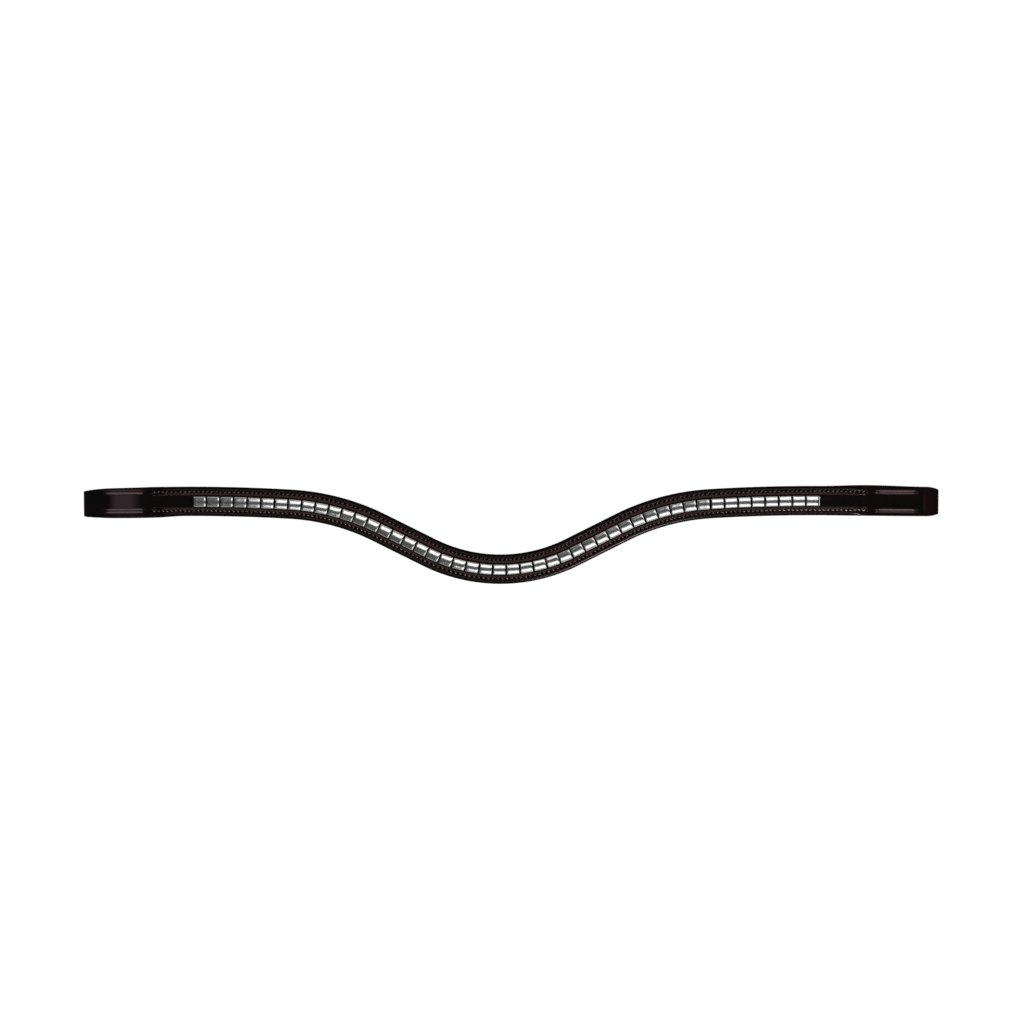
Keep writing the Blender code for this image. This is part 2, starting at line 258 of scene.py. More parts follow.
def hide_grain_group():
    """The grain of a hide: small pebbles with pores between them, and slow changes of tone."""
    tree, taken, given = new_group("hide_grain", {"Pebble Size": 0.0004}, ("Height", "Pores", "Tone"))
    place = own_place(tree)
    per_metre = reckoned(tree, "DIVIDE", 1.0, taken["Pebble Size"])
    pulled = noise(tree, place, 900.0, 2.0)["Color"]
    drift = wire(
        tree, "ShaderNodeVectorMath", {0: pulled, "Scale": 0.00025}, operation="SCALE",
    ).outputs[0]
    moved = wire(tree, "ShaderNodeVectorMath", {0: place, 1: drift}, operation="ADD").outputs[0]
    pebbles = wire(
        tree, "ShaderNodeTexVoronoi", {"Vector": moved, "Scale": per_metre},
        feature="DISTANCE_TO_EDGE",
    ).outputs["Distance"]
    crevice = wire(tree, "ShaderNodeMapRange", {"Value": pebbles, "From Max": 0.16}).outputs[0]
    fine = noise(tree, moved, 5200.0, 3.0)["Fac"]
    tree.links.new(reckoned(tree, "MULTIPLY_ADD", fine, 0.35, crevice), given["Height"])
    tree.links.new(reckoned(tree, "SUBTRACT", 1.0, crevice), given["Pores"])
    tree.links.new(noise(tree, place, 70.0, 4.0)["Fac"], given["Tone"])
    return tree


def hide_wear_group():
    """What use, ink and painted shade do to a dyed hide: where its warm tone shows, where ink and painted
    shade lie, where it is dull.
    """
    usual = {"Rubbed": 0.0, "Ink_And_Shade_Mark": 0.0, "Pores": 0.0, "Tone": 0.5}
    tree, taken, given = new_group("hide_wear", usual, ("Warm", "Ink_And_Shade", "Dull"))
    patch = reckoned(tree, "MULTIPLY_ADD", taken["Tone"], 1.3, -0.35, clamped=True)
    wear = reckoned(tree, "MULTIPLY", taken["Rubbed"], scaled(tree, patch, 0.5, 1.3))
    warm = reckoned(tree, "MULTIPLY_ADD", patch, 0.08, wear, clamped=True)
    ink_and_shade = reckoned(tree, "MULTIPLY_ADD", taken["Pores"], 0.4, taken["Ink_And_Shade_Mark"], clamped=True)
    worn = reckoned(tree, "MULTIPLY_ADD", taken["Pores"], 0.2, warm, clamped=True)
    tree.links.new(warm, given["Warm"])
    tree.links.new(ink_and_shade, given["Ink_And_Shade"])
    tree.links.new(reckoned(tree, "ADD", worn, taken["Ink_And_Shade_Mark"]), given["Dull"])
    return tree


hide_grain = hide_grain_group()
hide_wear = hide_wear_group()


def leather(name, deep, warm, pebble, relief, roughness, polish=0.0, **constants):
    """Dyed leather of two tones, deep and warm, with the wear, ink and painted shade that its piece is
    marked with.

    Roughness is that of polished and of worn leather, and more ink and painted shade than 1 makes it
    duller than worn. Polish is the coat of wax and size, which is missing where the piece is rubbed,
    inked or painted with shade.
    """
    material, tree, shader = new_material(name, **constants)
    grain = wire(tree, "ShaderNodeGroup", node_tree=hide_grain)
    grain.inputs["Pebble Size"].default_value = pebble
    wear = wire(tree, "ShaderNodeGroup", node_tree=hide_wear)
    for mark in ("Rubbed", "Ink_And_Shade_Mark"):
        at_points = wire(tree, "ShaderNodeAttribute", attribute_name=mark.lower())
        tree.links.new(at_points.outputs["Fac"], wear.inputs[mark])
    for value in ("Pores", "Tone"):
        tree.links.new(grain.outputs[value], wear.inputs[value])
    dye = blended(tree, wear.outputs["Warm"], (*deep, 1), (*warm, 1))
    # One dark colour serves for ink and for painted shade: in the needle holes, along the channel wall
    # and at the right loop's fold.
    ink_and_shade = tuple(0.25 * part for part in deep)
    tree.links.new(blended(tree, wear.outputs["Ink_And_Shade"], dye, (*ink_and_shade, 1)), shader.inputs["Base Color"])
    dull_and_shade = wear.outputs["Dull"]
    polished, worn = roughness
    rough = wire(tree, "ShaderNodeMapRange", {
        "Value": dull_and_shade, "From Max": 2.0, "To Min": polished, "To Max": 2 * worn - polished,
    })
    tree.links.new(rough.outputs["Result"], shader.inputs["Roughness"])
    if polish:
        tree.links.new(scaled(tree, dull_and_shade, polish, 0.0), shader.inputs["Coat Weight"])
    emboss(tree, shader, grain.outputs["Height"], 0.6, relief)
    return material


lining_calf = leather(
    "lining_calf", deep=(0.0030, 0.0024, 0.0026), warm=(0.008, 0.006, 0.0062), pebble=0.00055,
    relief=0.00006, roughness=(0.48, 0.66), Specular_IOR_Level=0.4,
)


def lining_section(arcs):
    """The tray's section: back, round corner, rim and bed, drawn in under each stitch row."""
    left_end, right_end = LEFT_TAIL - LEFT_ROOT, RIGHT_ROOT - RIGHT_TAIL
    raised = ease(np.minimum(arcs - left_end, right_end - arcs) / RIM_RUNOUT)[:, None]
    rim = LINING + raised * (CORE_TOP - LINING)
    bed = np.full_like(rim, LINING)
    corner, lip = quarter_turn(7), quarter_turn(5)
    sink = LINING_GROOVE * bell(BACK_PLACES - STITCH_OFFSET, LINING_GROOVE_WIDTH)
    pull = 0.5 + 0.5 * hole_pull(arcs)[:, None]
    inner = HALF_WIDTH - LINING_RIM
    v = np.concatenate([
        BACK_PLACES,
        HALF_WIDTH - LINING_CORNER * (1 - np.sin(corner)),
        HALF_WIDTH - RIM_ROUND * (1 - np.cos(lip)),
        (inner + RIM_CHAMFER, inner, inner, *BED_PLACES),
    ])
    h = np.concatenate([
        sink * pull,
        np.tile(LINING_CORNER * (1 - np.cos(corner)), (len(arcs), 1)),
        rim - RIM_ROUND * (1 - np.sin(lip)),
        rim, rim - RIM_CHAMFER, bed, bed, bed,
    ], 1)
    return np.tile(v, (len(arcs), 1)), h


lining_arcs = np.arange(LINING_INSET - LEFT_ROOT, RIGHT_ROOT - LINING_INSET, FINE_STEP)
lining_v, lining_h = closed_section(*lining_section(lining_arcs))
lining_out = np.abs(lining_v)
under_stitch = (lining_h < BACK_SIDE) * bell(lining_out - STITCH_OFFSET, STAIN_WIDTH)
lining_mesh = skin("lining", laid_rings(lining_arcs, lining_v, lining_h), {
    "rubbed": 0.3 * bell(lining_out - BACK_RUBBED, BACK_RUBBED_WIDTH),
    "ink_and_shade_mark": np.clip(0.7 * under_stitch + 0.8 * (lining_out > SIDE_INKED), 0, 1),
})
fit("lining", lining_mesh, lining_calf, "soft_leather", "lining_leather")


# The foam: one flat strip of closed-cell foam between the two tails. It pads the band against the
# brow, is skived a little at its edges and is held by glue and by the rims of the lining.

FOAM_GAP = 0.0003
FOAM_BOTTOM = 0.0016
FOAM_RINGS = 420

closed_cell_foam, foam_tree, foam_shader = new_material("closed_cell_foam", Roughness=0.95)
foam_cells = wire(foam_tree, "ShaderNodeTexVoronoi", {
    "Vector": own_place(foam_tree), "Scale": 3200.0,
}).outputs["Distance"]
foam_tree.links.new(
    blended(foam_tree, foam_cells, (0.060, 0.060, 0.064, 1), (0.026, 0.026, 0.029, 1)),
    foam_shader.inputs["Base Color"],
)
emboss(foam_tree, foam_shader, foam_cells, 0.8, 0.00010)

# The section's right half, from the top down, in shares of its half width and of its height.
FOAM_OUT = np.array([0.0, 0.5, 0.85, 0.94, 0.985, 1.0, 1.0, 0.985, 0.94, 0.85, 0.5, 0.0])
FOAM_UP = np.array([1.0, 1.0, 0.99, 0.955, 0.87, 0.72, 0.28, 0.13, 0.045, 0.01, 0.0, 0.0])

foam_arcs = np.linspace(
    LEFT_TAIL + FOAM_GAP - LEFT_ROOT, RIGHT_ROOT - RIGHT_TAIL - FOAM_GAP, FOAM_RINGS,
)
foam_v = np.tile((HALF_WIDTH - LINING_RIM - FOAM_GAP) * FOAM_OUT, (FOAM_RINGS, 1))
foam_h = np.tile(FOAM_BOTTOM + (CORE_TOP - FOAM_BOTTOM) * FOAM_UP, (FOAM_RINGS, 1))
foam_mesh = skin("foam_pad", laid_rings(foam_arcs, *closed_section(foam_v, foam_h)))
foam = fit("foam_pad", foam_mesh, closed_cell_foam, "foam", "padding_foam")


# The filler cords: two soft three-ply cotton cords, one under each margin of the face. The face is
# moulded over them, which makes the two raised rails, and each ends where its rail runs out.

CORD_OFFSET = 0.00565
CORD_WIDTH, CORD_HEIGHT = 0.0012, 0.0013
CORD_TWIST = 0.0042
CORD_GAP = 0.0003
CORD_PLIES, PLY_GROOVE = 3, 0.10
CORD_RINGS, CORD_SIDES = 700, 18
FACE_BOTTOM = 0.0034
RAIL_RUNOUT = 0.0075

cotton, cotton_tree, cotton_shader = new_material("cotton_cord", Roughness=0.9, Sheen_Weight=0.4)
cotton_fibre = noise(cotton_tree, own_place(cotton_tree), 4000.0, 4.0, Distortion=0.6)["Fac"]
cotton_tree.links.new(
    blended(cotton_tree, cotton_fibre, (0.045, 0.032, 0.032, 1), (0.078, 0.060, 0.060, 1)),
    cotton_shader.inputs["Base Color"],
)
emboss(cotton_tree, cotton_shader, cotton_fibre, 0.7, 0.00008)

cord_inset = RAIL_RUNOUT + CORD_GAP
cord_arcs = np.linspace(cord_inset - LEFT_ROOT, RIGHT_ROOT - cord_inset, CORD_RINGS)
cord_round = np.linspace(0, 2 * math.pi, CORD_SIDES, endpoint=False)
cord_lay = CORD_PLIES * (cord_round[None, :] - 2 * math.pi * cord_arcs[:, None] / CORD_TWIST)
cord_swell = 1 - PLY_GROOVE * (1 - np.abs(np.cos(cord_lay / 2)))
for name, hand in (("upper", 1), ("lower", -1)):
    cord_v = hand * CORD_OFFSET + cord_swell * CORD_WIDTH / 2 * np.cos(cord_round)
    cord_h = FACE_BOTTOM + CORD_HEIGHT / 2 * (1 + cord_swell * np.sin(cord_round))
    cord_mesh = skin(f"{name}_cord", laid_rings(cord_arcs, cord_v, cord_h))
    fit(f"{name}_cord", cord_mesh, cotton, "cotton", f"{name}_rail_cord")


# The face: one strap of glossy dark brown bridle leather. It is pressed down in a channel between
# two moulded rails, and its ends turn back as the loops and finish in tails that meet the foam.

LEATHER = 0.0015
CHANNEL_EDGE = 0.0028
WALL_FOOT, WALL_RUN = CHANNEL_EDGE - 0.00003, 0.00030
RIDGE_MIDDLE, RIDGE_HALF = 0.0035, 0.0007
RIDGE_RISE, RIDGE_FALL = 0.0019, 0.08
MARGIN_START, MARGIN_CREST = 0.00475, 0.00555
MARGIN_RISE, MARGIN_FALL = 0.0022, 0.2
EDGE_ROUND = 0.0003
RAIL_HOLLOW = 0.0016
GROOVE_DEPTH, GROOVE_WIDTH, GROOVE_LEAST = 0.0004, 0.00028, 0.6
PUCKER_DEPTH, PUCKER_WIDTH = 0.00070, 0.00042
PILLOW_RISE, PILLOW_PLACE, PILLOW_WIDTH = 0.00006, 0.0054, 0.0008
STRIP_START, STRIP_END = -0.1519, 0.1572

LEFT_LOOP, RIGHT_LOOP = 0.0323, 0.0338
LOOP_OPENING = 0.0075
ROOT_EASE, CREST_EASE = 0.0110, 0.0070
FRONT_STEP = FINE_STEP * 1.5
FOLD_REACH = 0.0070
FOLD_CORNER = 0.0005
LEFT_TAPER, LEFT_NARROWING = 0.0140, 0.0010
RIGHT_TAPER, RIGHT_NARROWING = 0.0066, 0.0012
LEFT_DROOP = 0.0007
BACK_RISE, BACK_STEP = 0.0070, 0.0004
FOLD_POINTS, RISE_POINTS, TAIL_POINTS = 61, 30, 30
TAIL_SPREAD, TAIL_DRIFT = 0.00035, 0.0003
CREASE_PLACE, CREASE_DEPTH = 0.0045, 0.00028
CREASE_START, CREASE_START_RUN = 0.001, 0.005
CREASE_STOP, CREASE_STOP_RUN = 0.006, 0.008
BACK_CREASE = 0.5
# How far back from a loop's end its fold is dulled and darkened with painted shade, and the run over
# which this fades.
FOLD_SHADE, FOLD_SHADE_RUN = 0.0085, 0.004

bridle_leather = leather(
    "bridle_leather", deep=(0.0022, 0.0014, 0.0016), warm=(0.0880, 0.0530, 0.0470), pebble=0.00032,
    relief=0.000012, roughness=(0.13, 0.42), polish=1.0, Specular_IOR_Level=0.25,
    Specular_Tint=(1.0, 0.55, 0.62, 1.0), Coat_Roughness=0.09,
)

# Places across the strap's grain side, from its middle to its edge, close together where the tools
# have bitten. The cut edge comes next, in shares of the half width and in heights, and then the
# flesh side back to the middle, with the share of the rail's hollow that each place has.
FLOOR_PLACES = np.linspace(0, 0.0024, 5)
WALL_PLACES = np.arange(0.0026, 0.0031, 0.00006)
RAIL_PLACES = np.arange(0.0031, 0.0059, 0.00008)
EDGE_PLACES = HALF_WIDTH - 0.0011 * (1 - np.sin(quarter_turn(12)))
ACROSS = np.concatenate([FLOOR_PLACES, WALL_PLACES, RAIL_PLACES, EDGE_PLACES])
CUT_OUT = (1.0, 0.985, 0.97, 0.945, 0.92)
CUT_HEIGHT = (0.0009, 0.00055, 0.00025, 0.00006, 0.0)
UNDER_PLACES = np.array([6.35, 6.2, 5.95, 5.65, 5.35, 5.1, 4.95, 4.6, 3.0, 1.5]) / 1000
UNDER_HOLLOW = np.array([0.35, 0.94, 1.0, 1.0, 1.0, 0.94, 0.35, 0.0, 0.0, 0.0])

# Where the face is rubbed pale, where it is dark with ink and where it is darkened with painted shade,
# in the needle holes and along the channel wall, as distances from its middle line, and the run over
# which each mark comes or goes. EDGE_INK counts from the edge, STRIP_RUB_RUN from the strip's ends,
# and GRAIN_SIDE is the height over which a point is on the grain side.
GRAIN_SIDE = 0.0011
RUBBED_FROM, RUBBED_FROM_RUN = 0.0026, 0.0003
RUBBED_TO, RUBBED_TO_RUN = 0.0043, 0.0005
HOLE_SHADE, HOLE_RUBBED = 0.00050, 0.0006
WALL_SHADE, WALL_SHADE_WIDTH = 0.00288, 0.00014
MARGIN_INK, MARGIN_INK_RUN = 0.0048, 0.0007
EDGE_INK, EDGE_INK_RUN = 0.0005, 0.0004
LOWER_SHINE, LOWER_SHINE_WIDTH = -0.00630, 0.00028
STRIP_RUB_RUN = 0.015


def rail_rise(v):
    """How far a rail stands over the channel's floor: the ridge, then the margin's round back."""
    wall = ease((v - WALL_FOOT) / WALL_RUN)
    ridge = RIDGE_RISE * (1 - RIDGE_FALL * ((v - RIDGE_MIDDLE) / RIDGE_HALF) ** 2)
    inner = MARGIN_RISE * (1 - MARGIN_FALL * ((v - MARGIN_CREST) / (MARGIN_CREST - MARGIN_START)) ** 2)
    reach = np.clip((v - MARGIN_CREST) / (HALF_WIDTH - MARGIN_CREST), 0, 1)
    outer = (MARGIN_RISE + EDGE_ROUND) * np.sqrt(1 - reach**2) - EDGE_ROUND
    margin = np.where(v < MARGIN_CREST, inner, outer)
    return wall * np.where(v < STITCH_OFFSET, ridge, margin)


def edge_fall(v):
    """How far the strap's edge is rounded down where it has no rails."""
    reach = np.clip((v - HALF_WIDTH) / EDGE_ROUND + 1, 0, 1)
    return EDGE_ROUND * (np.sqrt(1 - reach**2) - 1)


def face_marks(v, h, half, rail, pull, arcs, dull_and_shade):
    """Rubbed pale on the ridges and beside the holes; inked on the margins and edges; painted shade in
    the holes, along the channel wall and at a loop's fold.
    """
    out = np.abs(v)
    grain_side = (h > GRAIN_SIDE).astype(float)
    ridge = ease((out - RUBBED_FROM) / RUBBED_FROM_RUN) * ease((RUBBED_TO - out) / RUBBED_TO_RUN)
    by_strip = ease(np.minimum(arcs - STRIP_START, STRIP_END - arcs) / STRIP_RUB_RUN + 1)
    by_hole = (1 - pull) * bell(out - STITCH_OFFSET, HOLE_RUBBED)
    margin = ease((out - MARGIN_INK) / MARGIN_INK_RUN)
    edge = ease((out - half + EDGE_INK) / EDGE_INK_RUN)
    # Painted shade: the needle holes are made black, and a dark line runs along the channel wall.
    hole_shade = grain_side * pull * bell(out - STITCH_OFFSET, HOLE_SHADE)
    wall = rail * grain_side * bell(out - WALL_SHADE, WALL_SHADE_WIDTH)
    shine = rail * bell(v - LOWER_SHINE, LOWER_SHINE_WIDTH)
    ink_and_shade_mark = 0.7 * margin + edge + 1.5 * hole_shade + 0.3 * wall - 0.6 * shine
    return {
        "rubbed": rail * grain_side * (0.90 * ridge * (0.2 + 0.8 * by_strip) + 0.35 * by_hole),
        # The fold's mark adds painted shade, with dullness, at the right loop's fold.
        "ink_and_shade_mark": np.clip(ink_and_shade_mark, 0, 1) + dull_and_shade,
    }


def face_rings(middle, facing, across, half, rail, sewn, arcs, crease, crease_shift, crease_width, dull_and_shade):
    """The strap's rings and marks, from one value of each kind for each place along it.

    Facing is the way that its grain side looks, rail how far the rails stand, from 0 to 1, sewn is 1
    where the stitch rows run, crease says how deep a loop's crease is, and the last value how far a
    loop's fold is dulled and darkened with painted shade.
    """
    half, rail, sewn, arcs, crease, crease_shift, crease_width, dull_and_shade = (
        values[:, None]
        for values in (half, rail, sewn, arcs, crease, crease_shift, crease_width, dull_and_shade)
    )
    spread = (half - MARGIN_START) / (HALF_WIDTH - MARGIN_START)
    grain_v = np.where(ACROSS > MARGIN_START, MARGIN_START + (ACROSS - MARGIN_START) * spread, ACROSS)
    pull = hole_pull(arcs) * sewn
    depth = GROOVE_DEPTH * np.maximum(rail, GROOVE_LEAST * sewn)
    groove = depth * bell(ACROSS - STITCH_OFFSET, GROOVE_WIDTH)
    pucker = PUCKER_DEPTH * pull * bell(ACROSS - STITCH_OFFSET, PUCKER_WIDTH)
    pillow = PILLOW_RISE * (rail - pull) * bell(ACROSS - PILLOW_PLACE, PILLOW_WIDTH)
    rise = rail * rail_rise(ACROSS) + (1 - rail) * edge_fall(ACROSS) - groove - pucker + pillow

    def grain_h(hand):
        """Heights of one half, with the broad crease that runs along a loop's edge."""
        line = bell(ACROSS - CREASE_PLACE - hand * crease_shift, crease_width)
        return LEATHER + rise - CREASE_DEPTH * crease * line

    cut_v = half * CUT_OUT
    cut_h = np.tile(CUT_HEIGHT, (len(half), 1))
    under_v = np.tile(UNDER_PLACES, (len(half), 1))
    under_h = RAIL_HOLLOW * rail * UNDER_HOLLOW
    flesh_middle = np.zeros_like(half)
    v = np.concatenate([
        -grain_v[:, :0:-1], grain_v, cut_v, under_v, flesh_middle, -under_v[:, ::-1], -cut_v[:, ::-1],
    ], 1)
    h = np.concatenate([
        grain_h(-1)[:, :0:-1], grain_h(1), cut_h, under_h, flesh_middle, under_h[:, ::-1],
        cut_h[:, ::-1],
    ], 1)
    rings = middle[:, None, :] + v[..., None] * across[:, None, :] + h[..., None] * facing[:, None, :]
    return rings, face_marks(v, h, half, rail, pull, arcs, dull_and_shade)


def loop_route(length, tail):
    """One loop from the side: how far out, how high, and which way its grain side looks.

    It climbs from the root to the crest, folds round, runs back under itself, rises into the band and
    ends in the tail.
    """
    crest = length - LEATHER - FOLD_REACH
    rise = LEATHER + LOOP_OPENING - FACE_BOTTOM
    steepest = rise / (crest - (ROOT_EASE + CREST_EASE) / 2)
    route = []
    for out in np.arange(FINE_STEP, crest, FRONT_STEP):
        slope = steepest * min(out / ROOT_EASE, 1, (crest - out) / CREST_EASE)
        height = steepest * (out - ROOT_EASE / 2)
        if out < ROOT_EASE:
            height = steepest * out**2 / (2 * ROOT_EASE)
        if crest - out < CREST_EASE:
            height = rise - steepest * (crest - out) ** 2 / (2 * CREST_EASE)
        route.append((out, FACE_BOTTOM + height, -slope, 1.0))
    for turn in np.linspace(0, math.pi, FOLD_POINTS):
        out, up = math.sin(turn), math.cos(turn)
        looks = (out / FOLD_REACH, 2 * up / LOOP_OPENING)
        route.append((crest + FOLD_REACH * out, LEATHER + LOOP_OPENING / 2 * (1 + up), *looks))
    for out in np.arange(crest - BACK_STEP, BACK_RISE, -BACK_STEP):
        route.append((out, LEATHER, 0.0, -1.0))
    climb = CORE_TOP - LEATHER
    for share in np.linspace(0, 1, RISE_POINTS):
        slope = 6 * share * (1 - share) * climb / BACK_RISE
        route.append((BACK_RISE * (1 - share), LEATHER + climb * float(ease(share)), -slope, -1.0))
    for share in np.linspace(0.02, 1, TAIL_POINTS):
        route.append((-share * tail, CORE_TOP, 0.0, -1.0))
    out, height, lean, up = np.array(route).T
    size = np.hypot(lean, up)
    return out, height, lean / size, up / size


def loop_stations(side, root, length, tail, taper, narrowing, droop, shift, width, fold_shade):
    """The strap's values along one loop, from its root to the end of its tail.

    The loop narrows over its taper and droops towards the lower side; shift and width are those of
    its crease, and the last argument says how far its fold is dulled and darkened with painted shade.
    """
    out, height, lean, up = loop_route(length, tail)
    points, along, across = midline(side * (root + out))
    below = ease(-up) * ease(1 - out / length) * (1 - ease(-out / tail))
    to_end = length - np.maximum(out, 0) - LEATHER * lean
    into_corner = np.clip(FOLD_CORNER - to_end, 0, FOLD_CORNER)
    corner = FOLD_CORNER - np.sqrt(np.maximum(FOLD_CORNER**2 - into_corner**2, 0))
    drawn_in = narrowing * np.maximum(1 - to_end / taper, 0) ** 2
    drooped = droop * np.maximum(out, 0) / length
    middle = points + (side * TAIL_DRIFT * below - drooped)[:, None] * across
    middle[:, 2] += height
    facing = (side * lean)[:, None] * along
    facing[:, 2] += up
    creased = ease((out - CREASE_START) / CREASE_START_RUN)
    creased *= ease((to_end - CREASE_STOP) / CREASE_STOP_RUN) * np.where(up > 0, 1.0, BACK_CREASE)
    none = np.zeros(len(out))
    return dict(
        middle=middle, facing=facing, across=across,
        half=HALF_WIDTH - drawn_in - corner + TAIL_SPREAD * below,
        rail=none, sewn=none, arcs=side * (root + out),
        crease=creased, crease_shift=drooped + shift, crease_width=none + width,
        # The fold's end is dulled and darkened here: painted shade, set by the loop's last argument.
        dull_and_shade=fold_shade * ease((FOLD_SHADE - to_end) / FOLD_SHADE_RUN) * (out > 0),
    )


def body_stations():
    """The strap's values along the sewn band, from the left root to the right one."""
    arcs = np.arange(-LEFT_ROOT, RIGHT_ROOT, FINE_STEP)
    middle, _, across = midline(arcs)
    middle[:, 2] += FACE_BOTTOM
    none = np.zeros(len(arcs))
    return dict(
        middle=middle, facing=np.tile([0.0, 0.0, 1.0], (len(arcs), 1)), across=across,
        half=none + HALF_WIDTH,
        rail=ease(np.minimum(arcs + LEFT_ROOT, RIGHT_ROOT - arcs) / RAIL_RUNOUT),
        sewn=none + 1.0, arcs=arcs, crease=none, crease_shift=none, crease_width=none + 1.0, dull_and_shade=none,
    )


left_loop = loop_stations(
    -1, LEFT_ROOT, LEFT_LOOP, LEFT_TAIL, LEFT_TAPER, LEFT_NARROWING,
    droop=LEFT_DROOP, shift=0.00025, width=0.00088, fold_shade=0.0,
)
# Only the right loop's fold is darkened with painted shade; the left one stays glossy.
right_loop = loop_stations(
    1, RIGHT_ROOT, RIGHT_LOOP, RIGHT_TAIL, RIGHT_TAPER, RIGHT_NARROWING,
    droop=0.0, shift=-0.00015, width=0.00072, fold_shade=2.0,
)
face_stations = {
    kind: np.concatenate([left_loop[kind][::-1], values, right_loop[kind]])
    for kind, values in body_stations().items()
}
face_mesh = skin("face_strap", *face_rings(**face_stations))
fit("face_strap", face_mesh, bridle_leather, "bridle_leather", "face_leather")


# The thread: waxed linen lockstitch, twelve to the inch, one row down the foot of each margin. Each
# stitch leans a little across its groove and goes down through every layer at both of its ends.

THREAD_RADIUS = 0.00026
STITCH_LEAN = 0.00013
STITCH_COUNT = int((LEFT_ROOT + RIGHT_ROOT) / STITCH_LENGTH)
STITCH_POINTS, THREAD_SIDES = 9, 8
SEEN_FROM, SEEN_TO = 0.22, 0.78
FLAT_GROOVE, RIDGE_FOOT = 0.00015, 0.00175
FLAT_FLOOR = FACE_BOTTOM + LEATHER - FLAT_GROOVE
GROOVE_FLOOR = FACE_BOTTOM + LEATHER + RIDGE_FOOT - GROOVE_DEPTH
FACE_SUNK = 0.0004
BACK_SUNK, BACK_ARCH = 0.00058, 0.00034
UPPER_ARCH, LOWER_ARCH = 0.00048, 0.00060
# Where along the band the painted highlight on the stitches comes in, and the run over which it does.
HIGHLIGHT_FROM, HIGHLIGHT_RUN = 0.105, 0.025

waxed_thread, thread_tree, thread_shader = new_material(
    "waxed_thread", Roughness=0.32, Specular_IOR_Level=0.6,
)
thread_ply = wire(thread_tree, "ShaderNodeTexWave", {
    "Vector": own_place(thread_tree), "Scale": 900.0, "Distortion": 1.5, "Detail": 1.0,
}, bands_direction="DIAGONAL").outputs["Fac"]
# The pale thread colour is a painted highlight, laid on where the stitches carry its mark.
thread_painted_highlight = wire(thread_tree, "ShaderNodeAttribute", attribute_name="painted_highlight").outputs["Fac"]
thread_tone = blended(thread_tree, thread_painted_highlight, (0.190, 0.135, 0.127, 1), (0.700, 0.540, 0.520, 1))
# The thread is painted darker in the grooves between its plies: painted shade.
ply_shade = scaled(thread_tree, thread_ply, 0.3, 1.0)
thread_tree.links.new(
    blended(thread_tree, ply_shade, (0.0, 0.0, 0.0, 1), thread_tone),
    thread_shader.inputs["Base Color"],
)
emboss(thread_tree, thread_shader, thread_ply, 0.7, 0.00006)


def thread_length(shell, line):
    """One closed length of round thread along a line of points."""
    ahead = np.gradient(line, axis=0)
    ahead /= np.linalg.norm(ahead, axis=1)[:, None]
    aside = np.cross(ahead, (0, 0, 1))
    aside /= np.linalg.norm(aside, axis=1)[:, None]
    upward = np.cross(aside, ahead)
    turns = np.linspace(0, 2 * math.pi, THREAD_SIDES, endpoint=False)
    rings = []
    for centre, beside, over in zip(line, aside, upward):
        ring = [centre + THREAD_RADIUS * (math.cos(t) * beside + math.sin(t) * over) for t in turns]
        rings.append([shell.verts.new(point) for point in ring])
    for near, far in zip(rings, rings[1:]):
        for i in range(THREAD_SIDES):
            shell.faces.new((near[i - 1], near[i], far[i], far[i - 1]))
    shell.faces.new(rings[0])
    shell.faces.new(rings[-1][::-1])


def stitch_row(hand, face_arch, painted_highlight_share):
    """One row's stitches on the face and on the lining: hand is 1 for the upper row, -1 for the lower.

    The face's stitches arch up by face_arch. Where the last argument is 1, the right arm's stitches are
    painted paler towards the band's right end, as a painted highlight.
    """
    shell = bmesh.new()
    share = np.linspace(0, 1, STITCH_POINTS)
    arch = np.sin(math.pi * share) ** 0.5
    for number in range(STITCH_COUNT):
        start = number * STITCH_LENGTH - LEFT_ROOT
        arcs = start + STITCH_LENGTH * (SEEN_FROM + (SEEN_TO - SEEN_FROM) * share)
        points, _, across = midline(arcs)
        rail = ease(np.minimum(arcs + LEFT_ROOT, RIGHT_ROOT - arcs) / RAIL_RUNOUT)
        floor = FLAT_FLOOR + rail * (GROOVE_FLOOR - FLAT_FLOOR)
        on_face = (1, floor - FACE_SUNK + face_arch * arch)
        on_lining = (-1, BACK_SUNK - BACK_ARCH * arch)
        for way, height in (on_face, on_lining):
            lean = way * STITCH_LEAN * (2 * share - 1)
            line = points + (hand * (STITCH_OFFSET + lean))[:, None] * across
            line[:, 2] = height
            thread_length(shell, line)
    bmesh.ops.recalc_face_normals(shell, faces=shell.faces)
    mesh = bpy.data.meshes.new("stitches")
    shell.to_mesh(mesh)
    shell.free()
    mesh.shade_smooth()
    right = np.array([corner.co.x for corner in mesh.vertices])
    # The mark that pales the stitches towards the right end: a painted highlight.
    painted_highlight = mesh.attributes.new("painted_highlight", "FLOAT", "POINT")
    painted_highlight.data.foreach_set("value", painted_highlight_share * ease((right - HIGHLIGHT_FROM) / HIGHLIGHT_RUN))
    return mesh


upper_row = fit("upper_stitches", stitch_row(1, UPPER_ARCH, 0.0), waxed_thread, "cotton")
# The lower row carries the painted highlight on the right arm; the upper row has none.
lower_row = fit("lower_stitches", stitch_row(-1, LOWER_ARCH, 1.0), waxed_thread, "cotton")


# The tape: a strip of split leather down the middle of the channel, which carries the clinchers.
# Its two cut ends stand a little way out of the strip.

TAPE_TONGUE = 0.0015
TAPE_BOTTOM, TAPE_TOP = 0.00575, 0.00645
TAPE_HALF = 0.0018
TAPE_RINGS = 500

# The whole strip lies a little nearer the lower rail: tape, clinchers and staple all take this up.
STRIP_DRIFT = -0.0002

split_leather = leather(
    "split_leather", deep=(0.0032, 0.0024, 0.0026), warm=(0.009, 0.006, 0.006), pebble=0.00045,
    relief=0.00008, roughness=(0.5, 0.7), Specular_IOR_Level=0.35,
)

